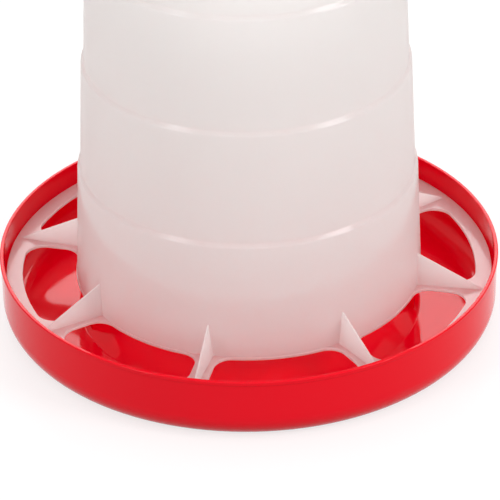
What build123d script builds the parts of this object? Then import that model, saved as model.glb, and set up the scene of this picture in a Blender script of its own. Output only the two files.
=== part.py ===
"""A hanging poultry feeder: a round red tray, a white hopper whose foot spreads into
an eight-spoked grill that stops hens raking feed out, and a wire bail to hang it by.

The hopper stands in the tray on two lugs inside its foot. Each lug lies under the hook
of a post on the tray, and a short twist frees it.
"""

import os
from math import asin, atan, cos, degrees, radians, sin, sqrt, tan

from build123d import *

os.makedirs("parts", exist_ok=True)

# Driving sizes in millimetres and degrees.
# The origin is the middle of the tray's underside, with +Z up and the front at -Y.

# Tray
rim_diameter = 370.0
tray_height = 50.5
tray_wall = 2.2
tray_foot_radius = 18.0
floor_thickness = 2.4
rim_bead_height = 3.0
rim_bead_width = 0.7
rim_round = 0.9
cone_height = 70.0
cone_tip_radius = 14.0
cone_foot_round = 2.5
cone_inside_foot = 0.7

# Hopper
foot_diameter = 256.6
hopper_wall = 2.0
wall_lean = 2.4
first_section = 92.0
section_height = 86.0
section_count = 3
ridge_step = 2.0
ridge_height = 3.0
ridge_round = 2.5
lip_width = 3.2
lip_height = 5.0
lip_round = 1.4

# Grill round the foot of the hopper
grill_top = 34.0
grill_thickness = 2.2
grill_gap = 1.4
ring_width = 12.0
spoke_count = 8
spoke_width = 14.0
window_land = 0.5
window_inner_share = 0.33
window_outer_share = 0.35
grill_edge_round = 0.4
fin_height = 25.0
fin_width = 8.0
fin_tip_width = 2.0
fin_tip_height = 0.5
fin_edge_width = 0.9
fin_edge_round = 0.4
fin_tip_on_ring = 7.5

# Twist lock between the hopper and the tray
lug_count = 2
lug_bearing = -10.0
lug_above_grill = 10.0
lug_height = 5.0
lug_width = 24.0
lug_length = 7.8
lock_gap = 0.4
lock_entry_gap = 3.0
post_depth = 6.5
post_gap = 1.2
post_stop_width = 5.0
hook_thickness = 6.0

# Bail and the ears that carry it
wire_diameter = 4.0
bail_leg = 50.0
bail_bend = 3.0
bail_gap = 0.8
bail_tail = 10.0
bail_tail_gap = 1.5
bail_rest_gap = 0.3
eye_radius = 8.0
eye_height = 7.0
eye_bend = 4.0
ear_diameter = 18.0
ear_standout = 3.5
ear_hole_gap = 0.5
ear_below_top = 16.0


# What follows from the driving sizes

# Radii of the tray's wall and the grill's ring, which lies inside it
rim_radius = rim_diameter / 2
tray_outer = rim_radius - rim_bead_width
tray_inner = tray_outer - tray_wall
ring_outer = tray_inner - grill_gap
ring_inner = ring_outer - ring_width

# The hopper's foot, its ridges and its top edge
foot_radius = foot_diameter / 2
grill_underside = grill_top - grill_thickness
ridge_levels = [
    grill_underside + first_section + n * section_height for n in range(section_count)
]
hopper_top = ridge_levels[-1] + section_height

# The cone that stands inside the hopper's foot
cone_foot = foot_radius - cone_inside_foot
cone_angle = atan(cone_height / cone_foot)


def hopper_radius(level):
    """The hopper's outer radius at a height: a leaning wall that steps in at each ridge."""
    ridges_passed = sum(1 for ridge in ridge_levels if level > ridge)
    lean = (level - grill_underside) * tan(radians(wall_lean))
    return foot_radius - lean - ridges_passed * ridge_step


def corner(sketch, x, y):
    """The corner of a sketch that lies nearest to a point."""
    return sketch.vertices().sort_by_distance((x, y))[0]


def arc_band(inner, outer, bearing, sweep):
    """A flat band between two radii, from a bearing through an angle."""
    with BuildSketch(mode=Mode.PRIVATE) as band:
        with BuildLine():
            near_arc = CenterArc((0, 0), inner, bearing, sweep)
            far_arc = CenterArc((0, 0), outer, bearing, sweep)
            Line(near_arc @ 0, far_arc @ 0)
            Line(near_arc @ 1, far_arc @ 1)
        make_face()
    return band.sketch


# The twist lock. Its lugs lie in the slot between a post's ledge and its hook.
lug_underside = grill_top + lug_above_grill
lug_top = lug_underside + lug_height
ledge_top = lug_underside - lock_gap
hook_underside = lug_top + lock_gap
post_top = hook_underside + hook_thickness
post_outer = hopper_radius(post_top) - hopper_wall - post_gap
post_inner = post_outer - post_depth
post_middle = (post_outer + post_inner) / 2
lug_wall = hopper_radius(lug_underside) - hopper_wall
lug_tip = lug_wall - lug_length

# The same lock as angles round the tray, all counted from the middle of a locked lug
lug_sweep = degrees(lug_width / post_middle)
gap_sweep = degrees(lock_gap / post_middle)
stop_sweep = degrees(post_stop_width / post_middle)
lock_twist = lug_sweep + degrees(lock_entry_gap / post_middle)
post_start = -(lug_sweep / 2 + gap_sweep + stop_sweep)
post_sweep = 2 * (stop_sweep + gap_sweep) + lug_sweep + lock_twist
hook_sweep = stop_sweep + gap_sweep + lug_sweep


def cone_section(inset, foot_level):
    """The middle of the cone's section, inset from its outer face, down to a level."""
    tip_radius = cone_tip_radius - inset
    tip_centre = floor_thickness + cone_height - cone_tip_radius / cos(cone_angle)
    tip_edge = (tip_radius * sin(cone_angle), tip_centre + tip_radius * cos(cone_angle))
    foot = tip_edge[0] + (tip_edge[1] - foot_level) / tan(cone_angle)
    TangentArc((0, tip_centre + tip_radius), tip_edge, tangent=(1, 0))
    Line(tip_edge, (foot, foot_level))
    return (0, tip_centre + tip_radius), (foot, foot_level)


with BuildPart() as tray:
    # The wall, floor and cone in one turned section, solid under the cone for now
    with BuildSketch(Plane.XZ) as tray_section:
        with BuildLine():
            cone_top, cone_edge = cone_section(0, floor_thickness)
            Polyline(
                cone_edge,
                (tray_inner, floor_thickness),
                (tray_inner, tray_height),
                (rim_radius, tray_height),
                (rim_radius, tray_height - rim_bead_height),
                (tray_outer, tray_height - rim_bead_height - rim_bead_width),
                (tray_outer, 0),
                (0, 0),
                cone_top,
            )
        make_face()
        fillet(corner(tray_section, tray_outer, 0), tray_foot_radius)
        fillet(corner(tray_section, tray_inner, floor_thickness), tray_foot_radius - tray_wall)
        fillet(corner(tray_section, cone_foot, floor_thickness), cone_foot_round)
        fillet(corner(tray_section, rim_radius, tray_height), rim_round)
        fillet(corner(tray_section, tray_inner, tray_height), rim_round)
    revolve(axis=Axis.Z)

    # The lock's posts rise from the cone: a ledge, a stop at each end and a hook
    with BuildSketch():
        with PolarLocations(0, lug_count, start_angle=lug_bearing):
            add(arc_band(post_inner, post_outer, post_start, post_sweep))
    extrude(amount=ledge_top)
    with BuildSketch(Plane.XY.offset(ledge_top)):
        with PolarLocations(0, lug_count, start_angle=lug_bearing):
            add(arc_band(post_inner, post_outer, post_start, stop_sweep))
            add(arc_band(post_inner, post_outer, post_start + post_sweep - stop_sweep, stop_sweep))
    extrude(amount=post_top - ledge_top)
    with BuildSketch(Plane.XY.offset(hook_underside)):
        with PolarLocations(0, lug_count, start_angle=lug_bearing):
            add(arc_band(post_inner, post_outer, post_start, hook_sweep))
    extrude(amount=hook_thickness)

    # The hollow under the cone leaves a shell of the wall's thickness
    with BuildSketch(Plane.XZ):
        with BuildLine():
            hollow_top, hollow_edge = cone_section(tray_wall, 0)
            Polyline(hollow_edge, (0, 0), hollow_top)
        make_face()
    revolve(axis=Axis.Z, mode=Mode.SUBTRACT)

tray.part.label = "tray"
export_step(tray.part, "parts/tray.step")


# One fin of the grill, lying along +X from inside the hopper's wall out onto the ring
fin_root = foot_radius - 2 * hopper_wall
fin_tip = ring_inner + fin_tip_on_ring
fin_wall = hopper_radius(grill_top + fin_height)
fin_growth = (fin_tip - fin_root) / (fin_tip - fin_wall)


def fin_section(height, width):
    """A fin's section: a steep roof with a narrow rounded edge, its foot sunk into the spoke."""
    Polygon(
        (-width / 2, grill_top - grill_thickness / 2),
        (width / 2, grill_top - grill_thickness / 2),
        (width / 2, grill_top),
        (fin_edge_width / 2, grill_top + height),
        (-fin_edge_width / 2, grill_top + height),
        (-width / 2, grill_top),
        align=None,
    )


with BuildPart() as fin:
    with BuildSketch(Plane.YZ.offset(fin_root)) as root_section:
        fin_section(
            fin_tip_height + (fin_height - fin_tip_height) * fin_growth,
            fin_tip_width + (fin_width - fin_tip_width) * fin_growth,
        )
        fillet(root_section.vertices().sort_by(Axis.Y)[-2:], fin_edge_round)
    with BuildSketch(Plane.YZ.offset(fin_tip)) as tip_section:
        fin_section(fin_tip_height, fin_tip_width)
        fillet(tip_section.vertices().sort_by(Axis.Y)[-2:], fin_edge_round)
    loft(ruled=True)


ridge_ends = [
    ridge + side * ridge_height / 2 for ridge in ridge_levels for side in (-1, 1)
]


def wall_line(inset, bottom, top):
    """The hopper's wall from a bottom to a top level, inset from its outer face."""
    return [(hopper_radius(level) - inset, level) for level in (bottom, *ridge_ends, top)]


def ridge_corners(sketch, inset):
    """The corners where the ridges start and end in a section through the wall."""
    return [corner(sketch, hopper_radius(level) - inset, level) for level in ridge_ends]


ear_level = hopper_top - ear_below_top
ear_face = hopper_radius(ear_level) + ear_standout
top_radius = hopper_radius(hopper_top)

# The grill's windows, between the hopper's foot, the ring and the spokes. Their wide
# corner fillets are shares of how far a window reaches out.
window_inner = foot_radius + window_land
window_reach = ring_inner - window_inner
with BuildSketch() as windows:
    Circle(ring_inner)
    Circle(window_inner, mode=Mode.SUBTRACT)
    with PolarLocations(0, spoke_count, start_angle=180 / spoke_count):
        Rectangle(
            ring_outer, spoke_width, align=(Align.MIN, Align.CENTER), mode=Mode.SUBTRACT
        )
    window_middle = (ring_inner + window_inner) / 2
    outer_corners = [v for v in windows.vertices() if Vector(v).length > window_middle]
    fillet(outer_corners, window_reach * window_outer_share)
    inner_corners = windows.vertices().sort_by_distance((0, 0))[: 2 * spoke_count]
    fillet(inner_corners, window_reach * window_inner_share)

# The grill's plate. The top edges of its windows and of its ring are softened.
with BuildPart() as grill:
    with BuildSketch(Plane.XY.offset(grill_underside)):
        Circle(ring_outer)
        add(windows.sketch, mode=Mode.SUBTRACT)
    extrude(amount=grill_thickness)
    fillet(grill.edges().filter_by_position(Axis.Z, grill_top, grill_top), grill_edge_round)

with BuildPart() as hopper:
    # The outside of the wall, turned solid, with the lip round its top edge
    with BuildSketch(Plane.XZ) as outer_section:
        with BuildLine():
            outside = wall_line(0, grill_underside, hopper_top)
            Polyline((0, grill_underside), *outside, (0, hopper_top), close=True)
        make_face()
        fillet(ridge_corners(outer_section, 0), ridge_round)
    revolve(axis=Axis.Z)
    with BuildSketch(Plane.XZ) as lip:
        with Locations((top_radius - hopper_wall, hopper_top)):
            Rectangle(hopper_wall + lip_width, lip_height, align=(Align.MIN, Align.MAX))
        lip_edge = top_radius + lip_width
        fillet(corner(lip, lip_edge, hopper_top), lip_round)
        fillet(corner(lip, lip_edge, hopper_top - lip_height), lip_round)
    revolve(axis=Axis.Z)

    # The grill round its foot, and a fin along each spoke
    add(grill.part)
    with PolarLocations(0, spoke_count, start_angle=180 / spoke_count):
        add(fin.part)

    # The two ears begin as one bar, which the hollow inside then parts
    with BuildSketch(Plane.YZ):
        with Locations((0, ear_level)):
            Circle(ear_diameter / 2)
    extrude(amount=ear_face, both=True)

    # The hollow inside, open at the foot and at the top
    with BuildSketch(Plane.XZ) as inner_section:
        with BuildLine():
            inside = wall_line(hopper_wall, 0, hopper_top + lip_height)
            Polyline((0, 0), *inside, (0, hopper_top + lip_height), close=True)
        make_face()
        fillet(ridge_corners(inner_section, hopper_wall), ridge_round)
    revolve(axis=Axis.Z, mode=Mode.SUBTRACT)

    # The ears' holes, one line through both
    with BuildSketch(Plane.YZ):
        with Locations((0, ear_level)):
            Circle(wire_diameter / 2 + ear_hole_gap)
    extrude(amount=ear_face, both=True, mode=Mode.SUBTRACT)

    # The lock's lugs, inside the foot
    with BuildSketch(Plane.XY.offset(lug_underside)):
        with PolarLocations(0, lug_count, start_angle=lug_bearing):
            add(arc_band(lug_tip, lug_wall + hopper_wall / 2, -lug_sweep / 2, lug_sweep))
    extrude(amount=lug_height)

hopper.part.label = "hopper"
export_step(hopper.part, "parts/hopper.step")


# The bail's own outline, with its hinge line along X and its arch out along +Y
wire_radius = wire_diameter / 2
leg_x = ear_face + bail_gap + wire_radius
tail_x = hopper_radius(ear_level) - hopper_wall - bail_tail_gap - wire_radius
arch_height = bail_leg + leg_x

# The arch meets each side of the eye in a small bend that lies against both
bend_x = eye_radius + eye_bend
bend_reach = leg_x + eye_bend
eye_foot = bail_leg + sqrt(bend_reach**2 - bend_x**2)
arch_sweep = 90 - degrees(asin(bend_x / bend_reach))


def stored_angle():
    """The bail's angle from straight down where its arch comes to rest on the hopper."""
    low = 0.0
    high = 90.0
    for _ in range(40):
        middle = (low + high) / 2
        arch_level = ear_level - arch_height * cos(radians(middle))
        wall_reach = hopper_radius(arch_level) + wire_radius + bail_rest_gap
        if arch_height * sin(radians(middle)) > wall_reach:
            high = middle
        else:
            low = middle
    return high


rest_angle = radians(stored_angle())
bail_plane = Plane(
    origin=(0, 0, ear_level), x_dir=(1, 0, 0), z_dir=(0, cos(rest_angle), sin(rest_angle))
)

with BuildPart() as bail:
    with BuildLine(bail_plane) as wire_line:
        for side in (-1, 1):
            FilletPolyline(
                (side * tail_x, bail_tail),
                (side * tail_x, 0),
                (side * leg_x, 0),
                (side * leg_x, bail_leg),
                radius=bail_bend,
            )
            CenterArc((0, bail_leg), leg_x, 90 - side * 90, side * arch_sweep)
            CenterArc((side * bend_x, eye_foot), eye_bend, 90 + side * 90, side * arch_sweep)
            Line((side * eye_radius, eye_foot), (side * eye_radius, eye_foot + eye_height))
        CenterArc((0, eye_foot + eye_height), eye_radius, 0, 180)
    with BuildSketch(Plane(origin=wire_line.wire() @ 0, z_dir=wire_line.wire() % 0)):
        Circle(wire_radius)
    sweep(path=wire_line.wire())

bail.part.label = "bail"
export_step(bail.part, "parts/bail.step")

print("twist of the lock, degrees:", round(lock_twist, 2))
print("bail's swing, degrees:", round(2 * (180 - degrees(rest_angle)), 2))
print("ear level and hopper top:", round(ear_level, 2), round(hopper_top, 2))
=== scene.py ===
"""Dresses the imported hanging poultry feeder: its red tray, milky hopper and wire bail, a
white stage in soft studio light, and the camera at the photograph's viewing angle."""

import math

import bpy
from bpy.props import FloatProperty, FloatVectorProperty, PointerProperty
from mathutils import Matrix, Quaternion, Vector

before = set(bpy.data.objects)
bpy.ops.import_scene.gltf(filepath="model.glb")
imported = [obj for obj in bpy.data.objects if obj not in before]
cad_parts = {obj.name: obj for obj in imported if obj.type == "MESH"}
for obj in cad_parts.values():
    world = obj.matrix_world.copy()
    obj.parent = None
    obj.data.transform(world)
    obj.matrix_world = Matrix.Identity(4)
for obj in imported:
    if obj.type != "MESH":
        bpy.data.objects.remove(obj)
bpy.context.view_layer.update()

bl_info = {
    "name": "Hanging poultry feeder",
    "version": (1, 0, 0),
    "blender": (4, 5, 0),
    "location": "View3D > Sidebar > Feeder",
    "description": "Finishes a hanging poultry feeder and sets it on a plain stage",
    "category": "Object",
}

MM = 0.001
POLYPROPYLENE_IOR = 1.49
WHITE = (1, 1, 1, 1)

# Each softbox: its bearing from the front and its elevation in degrees, its distance, width
# and height in metres, and its power in watts. The narrow ones at the sides draw the short
# highlights on the hopper's ridges.
SOFTBOXES = {
    "left_softbox": (-57, 24, 1.7, 0.4, 1.2, 6.2),
    "right_softbox": (50, 26, 1.7, 0.5, 1.2, 11),
    "back_softbox": (171, 33, 1.9, 1.4, 0.6, 12),
    "front_softbox": (-9, 38, 2.3, 1.6, 1.0, 4.5),
}


def linear(colour):
    """An sRGB hex colour as linear red, green and blue."""
    parts = [int(colour[n : n + 2], 16) / 255 for n in (1, 3, 5)]
    return tuple(p / 12.92 if p <= 0.04045 else ((p + 0.055) / 1.055) ** 2.4 for p in parts)


def grain(size):
    """The texture scale at which a pattern repeats about once in so many metres."""
    return 1 / size


class FeederFinish(bpy.types.PropertyGroup):
    """Colours and surface sizes of the feeder's three pieces."""

    tray_colour: FloatVectorProperty(
        name="Tray",
        description="Colour of the red moulded tray",
        subtype="COLOR",
        size=3,
        min=0,
        max=1,
        default=linear("#F6001D"),
    )
    hopper_colour: FloatVectorProperty(
        name="Hopper",
        description="Colour of the milky moulded hopper",
        subtype="COLOR",
        size=3,
        min=0,
        max=1,
        default=linear("#F6F5F4"),
    )
    wire_colour: FloatVectorProperty(
        name="Bail",
        description="Colour of the zinc on the bail's wire",
        subtype="COLOR",
        size=3,
        min=0,
        max=1,
        default=linear("#C3C6C8"),
    )
    wire_shade: FloatVectorProperty(
        name="Bail's shade",
        description="Darker tone between the crystals of the zinc",
        subtype="COLOR",
        size=3,
        min=0,
        max=1,
        default=linear("#96999C"),
    )
    crystal_size: FloatProperty(
        name="Zinc crystals",
        description="Width of the crystals in the zinc",
        unit="LENGTH",
        min=0.1 * MM,
        default=3 * MM,
    )
    milk_depth: FloatProperty(
        name="Milkiness",
        description="How far light spreads inside the hopper's plastic",
        unit="LENGTH",
        min=0,
        default=6 * MM,
    )
    translucency: FloatProperty(
        name="Translucency",
        description="Share of the light that passes on through a face of the hopper's plastic",
        subtype="FACTOR",
        min=0,
        max=1,
        default=0.62,
    )
    mould_ripple: FloatProperty(
        name="Mould ripple",
        description="Width of the faint ripples that the mould leaves",
        unit="LENGTH",
        min=0.1 * MM,
        default=9 * MM,
    )
    ripple_height: FloatProperty(
        name="Ripple height",
        description="How high the mould's ripples stand",
        unit="LENGTH",
        min=0,
        default=0.02 * MM,
    )
    rub_size: FloatProperty(
        name="Rubbed patches",
        description="Width of the patches where handling has dulled the tray",
        unit="LENGTH",
        min=0.1 * MM,
        default=25 * MM,
    )


class FeederStage(bpy.types.PropertyGroup):
    """The camera, the floor and the light."""

    camera_azimuth: FloatProperty(
        name="Camera bearing",
        description="Where the camera stands, from the front towards the right",
        subtype="ANGLE",
        default=math.radians(-9),
    )
    camera_elevation: FloatProperty(
        name="Camera elevation",
        description="How high the camera stands over the middle of the tray's foot",
        subtype="ANGLE",
        default=math.radians(32.41),
    )
    camera_distance: FloatProperty(
        name="Camera distance",
        description="From the middle of the tray's foot to the camera",
        unit="LENGTH",
        default=2.33,
    )
    camera_aim: FloatVectorProperty(
        name="Camera aim",
        description="The point that the camera looks at",
        subtype="TRANSLATION",
        size=3,
        default=(0.8 * MM, -0.1 * MM, 45.2 * MM),
    )
    camera_roll: FloatProperty(
        name="Camera roll",
        description="Turn of the camera about its own line of sight",
        subtype="ANGLE",
        default=math.radians(-0.75),
    )
    lens: FloatProperty(
        name="Lens",
        description="Focal length in millimetres on a 36 mm sensor",
        unit="CAMERA",
        default=223,
    )
    lamp_aim: FloatVectorProperty(
        name="Lamp aim",
        description="The point that every softbox faces",
        subtype="TRANSLATION",
        size=3,
        default=(0, 0, 100 * MM),
    )
    room_light: FloatProperty(
        name="Room light",
        description="Strength of the even white light from all round",
        min=0,
        default=0.63,
    )
    floor_size: FloatProperty(
        name="Floor",
        description="Length of the floor's side",
        unit="LENGTH",
        default=12,
    )
    floor_gap: FloatProperty(
        name="Floor gap",
        description="How far the floor lies below the tray's foot, so that the two don't merge",
        unit="LENGTH",
        default=0.3 * MM,
    )
    floor_bounce: FloatVectorProperty(
        name="Floor's bounce",
        description="Colour of the floor as it throws light back on the feeder",
        subtype="COLOR",
        size=3,
        min=0,
        max=1,
        default=linear("#959595"),
    )
    floor_colour: FloatVectorProperty(
        name="Floor's colour",
        description="Colour of the floor as the camera sees it, before its glow",
        subtype="COLOR",
        size=3,
        min=0,
        max=1,
        default=linear("#A0A0A0"),
    )
    floor_glow: FloatProperty(
        name="Floor's glow",
        description="White added to the floor where it is seen, so that only its shadow shows",
        min=0,
        default=0.7,
    )


def add_node(tree, kind, inputs=None, **settings):
    """Adds a node with its settings, and sets or links its inputs."""
    node = tree.nodes.new(kind)
    for name, value in settings.items():
        setattr(node, name, value)
    for name, value in (inputs or {}).items():
        if isinstance(value, bpy.types.NodeSocket):
            tree.links.new(value, node.inputs[name])
        else:
            node.inputs[name].default_value = value
    return node


def new_material(name):
    """An empty node material, and its output."""
    material = bpy.data.materials.new(name)
    material.use_nodes = True
    material.node_tree.nodes.clear()
    return material, add_node(material.node_tree, "ShaderNodeOutputMaterial")


def finish_node(node, material):
    """Gives all of a CAD node's material slots one material."""
    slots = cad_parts[node].material_slots
    if not slots:
        raise RuntimeError(f"the CAD node {node} has no material slot")
    for slot in slots:
        slot.material = material


def moulded_face(tree, place, finish, detail):
    """The normal of a moulded face, with the faint ripples where the melt flowed."""
    flow = add_node(
        tree,
        "ShaderNodeTexNoise",
        {"Vector": place, "Scale": grain(finish.mould_ripple), "Detail": detail},
    )
    ripple = add_node(
        tree,
        "ShaderNodeBump",
        {"Height": flow.outputs["Fac"], "Distance": finish.ripple_height, "Strength": 1},
    )
    return ripple.outputs["Normal"]


def red_polypropylene(finish):
    """Polypropylene copolymer coloured through, injection-moulded in a polished mould."""
    # That gives the eye an even deep red and a clear but not quite sharp gloss over faint
    # ripples. Handling has dulled that gloss a little in cloudy patches. The fine scratches
    # in them are too narrow to show, so only the patches are drawn.
    polished = 0.07
    rubbed = 0.11
    material, output = new_material("red_moulded_polypropylene")
    tree = material.node_tree
    place = add_node(tree, "ShaderNodeTexCoord").outputs["Object"]
    handling = add_node(
        tree,
        "ShaderNodeTexNoise",
        {"Vector": place, "Scale": grain(finish.rub_size), "Detail": 5, "Roughness": 0.6},
    )
    # The noise rarely leaves 0.35 to 0.7, so that span takes in the whole of the change.
    roughness = add_node(
        tree,
        "ShaderNodeMapRange",
        {
            "Value": handling.outputs["Fac"],
            "From Min": 0.35,
            "From Max": 0.7,
            "To Min": polished,
            "To Max": rubbed,
        },
    )
    # The whole white stage stands in this gloss, so its level is low and the red stays deep.
    shader = add_node(
        tree,
        "ShaderNodeBsdfPrincipled",
        {
            "Base Color": (*finish.tray_colour, 1),
            "Roughness": roughness.outputs["Result"],
            "IOR": POLYPROPYLENE_IOR,
            "Specular IOR Level": 0.14,
            "Normal": moulded_face(tree, place, finish, detail=1),
        },
    )
    tree.links.new(shader.outputs["BSDF"], output.inputs["Surface"])
    return material


def milky_polypropylene(finish):
    """Natural polypropylene with a little white, moulded two millimetres thick."""
    # That gives the eye a milky wall that light spreads in and passes through, so the red
    # tray tints its lower part, with a satin gloss that catches on the ridges.
    material, output = new_material("milky_moulded_polypropylene")
    tree = material.node_tree
    place = add_node(tree, "ShaderNodeTexCoord").outputs["Object"]
    # The mix below takes away part of this gloss, so its level is high.
    shader = add_node(
        tree,
        "ShaderNodeBsdfPrincipled",
        {
            "Base Color": (*finish.hopper_colour, 1),
            "Roughness": 0.13,
            "IOR": POLYPROPYLENE_IOR,
            "Specular IOR Level": 1,
            "Subsurface Weight": 1,
            "Subsurface Radius": (1, 1, 1),
            "Subsurface Scale": finish.milk_depth,
            "Normal": moulded_face(tree, place, finish, detail=2),
        },
    )
    passing = add_node(tree, "ShaderNodeBsdfTranslucent", {"Color": (*finish.hopper_colour, 1)})
    # Socket 0 is the share of the second shader, the light that passes on through.
    wall = add_node(
        tree,
        "ShaderNodeMixShader",
        {0: finish.translucency, 1: shader.outputs[0], 2: passing.outputs[0]},
    )
    tree.links.new(wall.outputs[0], output.inputs["Surface"])
    return material


def galvanised_steel(finish):
    """Mild steel wire, drawn, bent and then dipped in zinc."""
    # That gives the eye a grey metal with a soft shine, broken by cloudy crystals of zinc a
    # few millimetres across.
    material, output = new_material("galvanised_steel_wire")
    tree = material.node_tree
    place = add_node(tree, "ShaderNodeTexCoord").outputs["Object"]
    crystals = add_node(
        tree,
        "ShaderNodeTexVoronoi",
        {"Vector": place, "Scale": grain(finish.crystal_size), "Randomness": 1},
    )
    # For colours, this node's socket 0 is the share of the second one, sockets 6 and 7 are
    # the two colours, and output 2 is their mix.
    tint = add_node(
        tree,
        "ShaderNodeMix",
        {
            0: crystals.outputs["Distance"],
            6: (*finish.wire_colour, 1),
            7: (*finish.wire_shade, 1),
        },
        data_type="RGBA",
    )
    shader = add_node(
        tree,
        "ShaderNodeBsdfPrincipled",
        {"Base Color": tint.outputs[2], "Metallic": 1, "Roughness": 0.38},
    )
    tree.links.new(shader.outputs["BSDF"], output.inputs["Surface"])
    return material


def shows_backdrop(tree):
    """1 for a ray by which the backdrop is seen, straight or in a reflection, 0 for others."""
    path = add_node(tree, "ShaderNodeLightPath")
    mirrored = add_node(
        tree,
        "ShaderNodeMath",
        {0: path.outputs["Is Glossy Ray"], 1: path.outputs["Is Transmission Ray"]},
        operation="MAXIMUM",
    )
    seen = add_node(
        tree,
        "ShaderNodeMath",
        {0: path.outputs["Is Camera Ray"], 1: mirrored.outputs[0]},
        operation="MAXIMUM",
    )
    return seen.outputs[0]


def white_board(stage):
    """Board with a matt white coat, sprayed on."""
    # That gives the eye a white without shine or grain, on which only a soft shadow shows.
    material, output = new_material("matt_white_board")
    tree = material.node_tree
    bounce = add_node(tree, "ShaderNodeBsdfDiffuse", {"Color": (*stage.floor_bounce, 1)})
    coat = add_node(tree, "ShaderNodeBsdfDiffuse", {"Color": (*stage.floor_colour, 1)})
    glow = add_node(
        tree,
        "ShaderNodeEmission",
        {"Color": WHITE, "Strength": stage.floor_glow},
    )
    bright = add_node(tree, "ShaderNodeAddShader", {0: coat.outputs[0], 1: glow.outputs[0]})
    board = add_node(
        tree,
        "ShaderNodeMixShader",
        {0: shows_backdrop(tree), 1: bounce.outputs[0], 2: bright.outputs[0]},
    )
    tree.links.new(board.outputs[0], output.inputs["Surface"])
    return material


def aim(thing, point, roll=0.0):
    """Turns a lamp or camera to look at a point, leaning it by roll."""
    look = (Vector(point) - thing.location).to_track_quat("-Z", "Y")
    thing.rotation_mode = "QUATERNION"
    thing.rotation_quaternion = look @ Quaternion((0, 0, 1), roll)


def around(azimuth, elevation, distance):
    """A place round the object: azimuth 0 is the front, and positive is to the right."""
    level = distance * math.cos(elevation)
    return Vector(
        (level * math.sin(azimuth), -level * math.cos(azimuth), distance * math.sin(elevation))
    )


def add_room(scene, stage):
    """Even white light from all round, and plain white where the room itself is seen."""
    world = bpy.data.worlds.new("white_room")
    scene.world = world
    world.use_nodes = True
    tree = world.node_tree
    tree.nodes.clear()
    room = add_node(
        tree,
        "ShaderNodeBackground",
        {"Color": WHITE, "Strength": stage.room_light},
    )
    backdrop = add_node(tree, "ShaderNodeBackground", {"Color": WHITE, "Strength": 1})
    mixed = add_node(
        tree,
        "ShaderNodeMixShader",
        {0: shows_backdrop(tree), 1: room.outputs[0], 2: backdrop.outputs[0]},
    )
    add_node(tree, "ShaderNodeOutputWorld", {"Surface": mixed.outputs[0]})


def add_floor(scene, stage):
    """The square white floor under the tray."""
    half = stage.floor_size / 2
    corners = [(-half, -half, 0), (half, -half, 0), (half, half, 0), (-half, half, 0)]
    mesh = bpy.data.meshes.new("floor")
    mesh.from_pydata(corners, [], [(0, 1, 2, 3)])
    floor = bpy.data.objects.new("floor", mesh)
    scene.collection.objects.link(floor)
    floor.location.z = -stage.floor_gap
    floor.data.materials.append(white_board(stage))


def add_lamps(scene, stage):
    """The softboxes, each at its place and facing the feeder."""
    for name, (azimuth, elevation, distance, width, height, power) in SOFTBOXES.items():
        lamp = bpy.data.lights.new(name, "AREA")
        lamp.shape = "RECTANGLE"
        lamp.size = width
        lamp.size_y = height
        lamp.energy = power
        box = bpy.data.objects.new(name, lamp)
        scene.collection.objects.link(box)
        box.location = around(math.radians(azimuth), math.radians(elevation), distance)
        aim(box, stage.lamp_aim)


def add_camera(scene, stage):
    """The camera at the photograph's viewing angle."""
    camera = bpy.data.objects.new("camera", bpy.data.cameras.new("camera"))
    scene.collection.objects.link(camera)
    scene.camera = camera
    camera.data.lens = stage.lens
    camera.location = around(
        stage.camera_azimuth, stage.camera_elevation, stage.camera_distance
    )
    aim(camera, stage.camera_aim, stage.camera_roll)


class FEEDER_OT_tray(bpy.types.Operator):
    """Gives the tray its glossy red plastic"""

    bl_idname = "feeder.tray"
    bl_label = "Tray"

    def execute(self, context):
        finish_node("tray", red_polypropylene(context.scene.feeder_finish))
        return {"FINISHED"}


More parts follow.
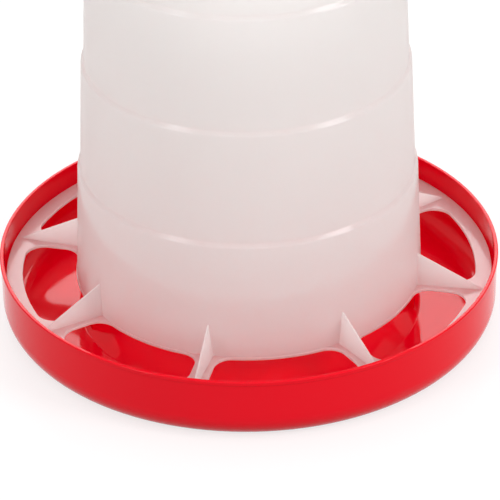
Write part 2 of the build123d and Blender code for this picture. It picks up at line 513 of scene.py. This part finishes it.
class FEEDER_OT_hopper(bpy.types.Operator):
    """Gives the hopper and its grill their milky plastic"""

    bl_idname = "feeder.hopper"
    bl_label = "Hopper"

    def execute(self, context):
        finish_node("hopper", milky_polypropylene(context.scene.feeder_finish))
        return {"FINISHED"}


class FEEDER_OT_bail(bpy.types.Operator):
    """Gives the bail its galvanised steel"""

    bl_idname = "feeder.bail"
    bl_label = "Bail"

    def execute(self, context):
        finish_node("bail", galvanised_steel(context.scene.feeder_finish))
        return {"FINISHED"}


class FEEDER_OT_stage(bpy.types.Operator):
    """Sets up the floor, the light and the camera"""

    bl_idname = "feeder.stage"
    bl_label = "Stage"

    def execute(self, context):
        scene = context.scene
        stage = scene.feeder_stage
        add_room(scene, stage)
        add_floor(scene, stage)
        add_lamps(scene, stage)
        add_camera(scene, stage)
        scene.view_settings.view_transform = "Standard"
        return {"FINISHED"}


class FEEDER_PT_panel(bpy.types.Panel):
    """Lists the feeder's pieces and its stage"""

    bl_label = "Poultry feeder"
    bl_idname = "FEEDER_PT_panel"
    bl_space_type = "VIEW_3D"
    bl_region_type = "UI"
    bl_category = "Feeder"

    def draw(self, context):
        layout = self.layout
        for group in (context.scene.feeder_finish, context.scene.feeder_stage):
            box = layout.box()
            for name in group.__annotations__:
                box.prop(group, name)
        for operator in OPERATORS:
            layout.operator(operator.bl_idname)


OPERATORS = (FEEDER_OT_tray, FEEDER_OT_hopper, FEEDER_OT_bail, FEEDER_OT_stage)
CLASSES = (FeederFinish, FeederStage, *OPERATORS, FEEDER_PT_panel)


def register():
    """Adds the feeder's classes and its two groups of settings to Blender."""
    for each in CLASSES:
        bpy.utils.register_class(each)
    bpy.types.Scene.feeder_finish = PointerProperty(type=FeederFinish)
    bpy.types.Scene.feeder_stage = PointerProperty(type=FeederStage)


def unregister():
    """Takes out again what register added."""
    del bpy.types.Scene.feeder_stage
    del bpy.types.Scene.feeder_finish
    for each in reversed(CLASSES):
        bpy.utils.unregister_class(each)


def main():
    """Registers the add-on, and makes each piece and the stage."""
    register()
    bpy.ops.feeder.tray()
    bpy.ops.feeder.hopper()
    bpy.ops.feeder.bail()
    bpy.ops.feeder.stage()


if __name__ == "__main__":
    main()
